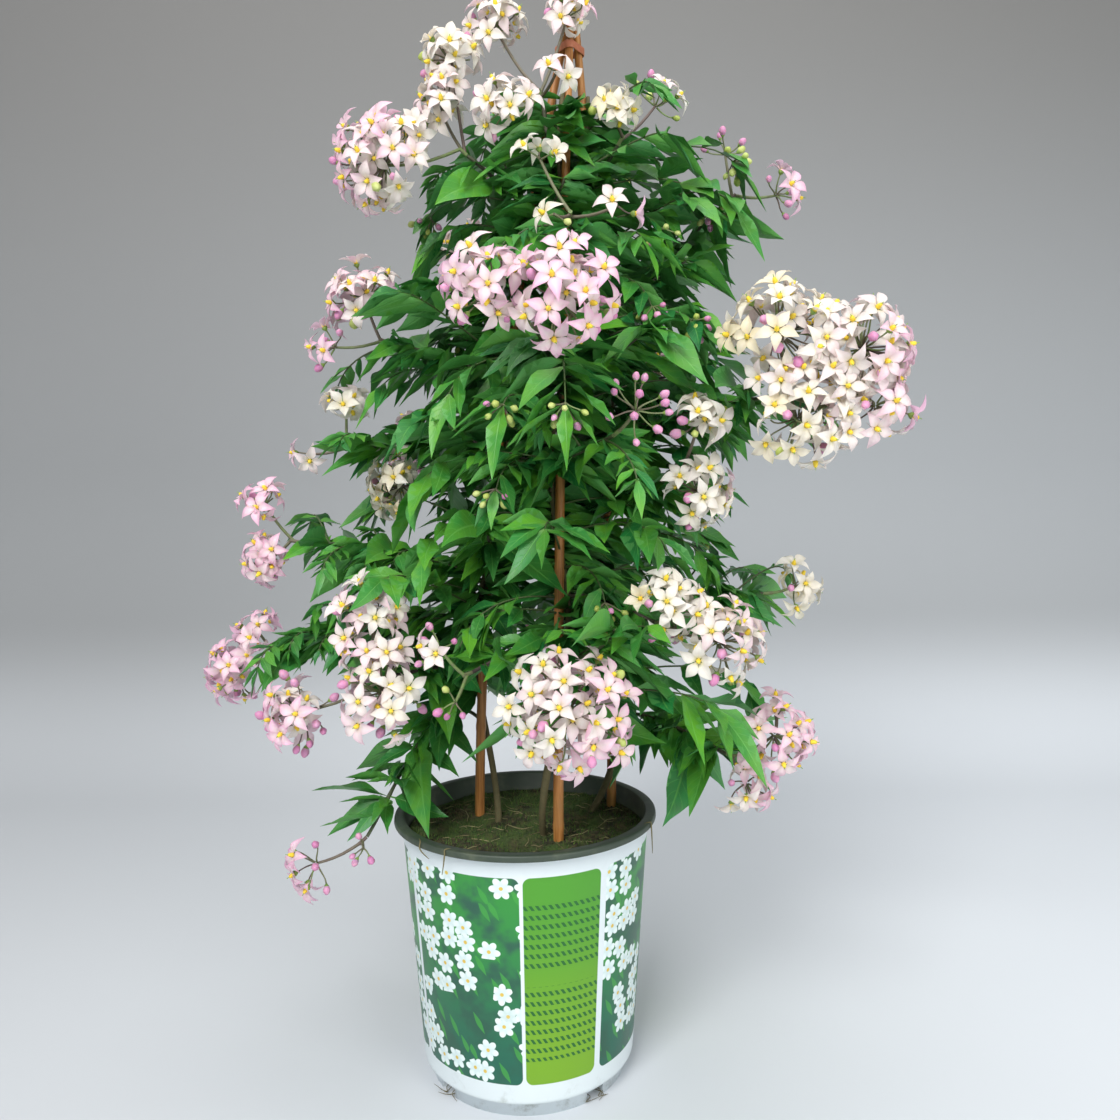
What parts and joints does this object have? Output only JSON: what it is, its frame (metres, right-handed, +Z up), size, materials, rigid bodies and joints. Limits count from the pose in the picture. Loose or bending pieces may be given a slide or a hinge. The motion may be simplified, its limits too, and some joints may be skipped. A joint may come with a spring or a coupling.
{
  "type": "potted potato vine",
  "caption": "Flowering potato vine in a tapered nursery pot of compost, trained up bamboo canes tied at the top, with leafy boughs ending in heads of star-shaped blooms and buds.",
  "frame": {"origin": "on the pot's axis, on the flat pad under its floor that it stands on", "axes": "+Z up the plant, -Y towards the viewer of the picture, +X to the viewer's right"},
  "size_m": [0.479, 0.3528, 0.7586],
  "materials": {
    "pot": "satin",
    "compost": "matte",
    "cane": "satin",
    "tie": "satin",
    "foliage": "satin",
    "blooms": "matte"
  },
  "bodies": {
    "root": {"pot": "pot", "soil": "compost", "cane_front": "cane", "cane_right": "cane", "cane_left": "cane", "cane_tie": "tie", "vine_front": "foliage", "vine_right": "foliage", "vine_left": "foliage", "bough_top": "foliage", "bough_top_left": "foliage", "bough_upper_front": "foliage", "bough_upper_right": "foliage", "bough_right_spray": "foliage", "bough_centre": "foliage", "bough_left_upper": "foliage", "bough_left_wisp": "foliage", "bough_left_mid": "foliage", "bough_left_inner": "foliage", "bough_left_outer": "foliage", "bough_left_low": "foliage", "bough_front_buds": "foliage", "bough_front_low": "foliage", "bough_right_mid": "foliage", "bough_right_small": "foliage", "bough_right_low": "foliage", "bough_right_big": "foliage", "bough_right_inner": "foliage", "bough_bud_spray": "foliage", "bough_low_left": "foliage", "bough_back_top": "foliage", "bough_back_right": "foliage", "bough_back_left": "foliage", "bough_back_low": "foliage", "head_top": "blooms", "head_top_left": "blooms", "head_upper_front": "blooms", "head_upper_right": "blooms", "head_right_spray": "blooms", "head_centre": "blooms", "head_left_upper": "blooms", "head_left_wisp": "blooms", "head_left_mid": "blooms", "head_left_inner": "blooms", "head_left_outer": "blooms", "head_left_low": "blooms", "head_front_buds": "blooms", "head_front_low": "blooms", "head_right_mid": "blooms", "head_right_small": "blooms", "head_right_low": "blooms", "head_right_big": "blooms", "head_right_inner": "blooms", "head_bud_spray": "blooms", "head_low_left": "blooms", "head_back_top": "blooms", "head_back_right": "blooms", "head_back_left": "blooms", "head_back_low": "blooms"}
  },
  "joints": []
}
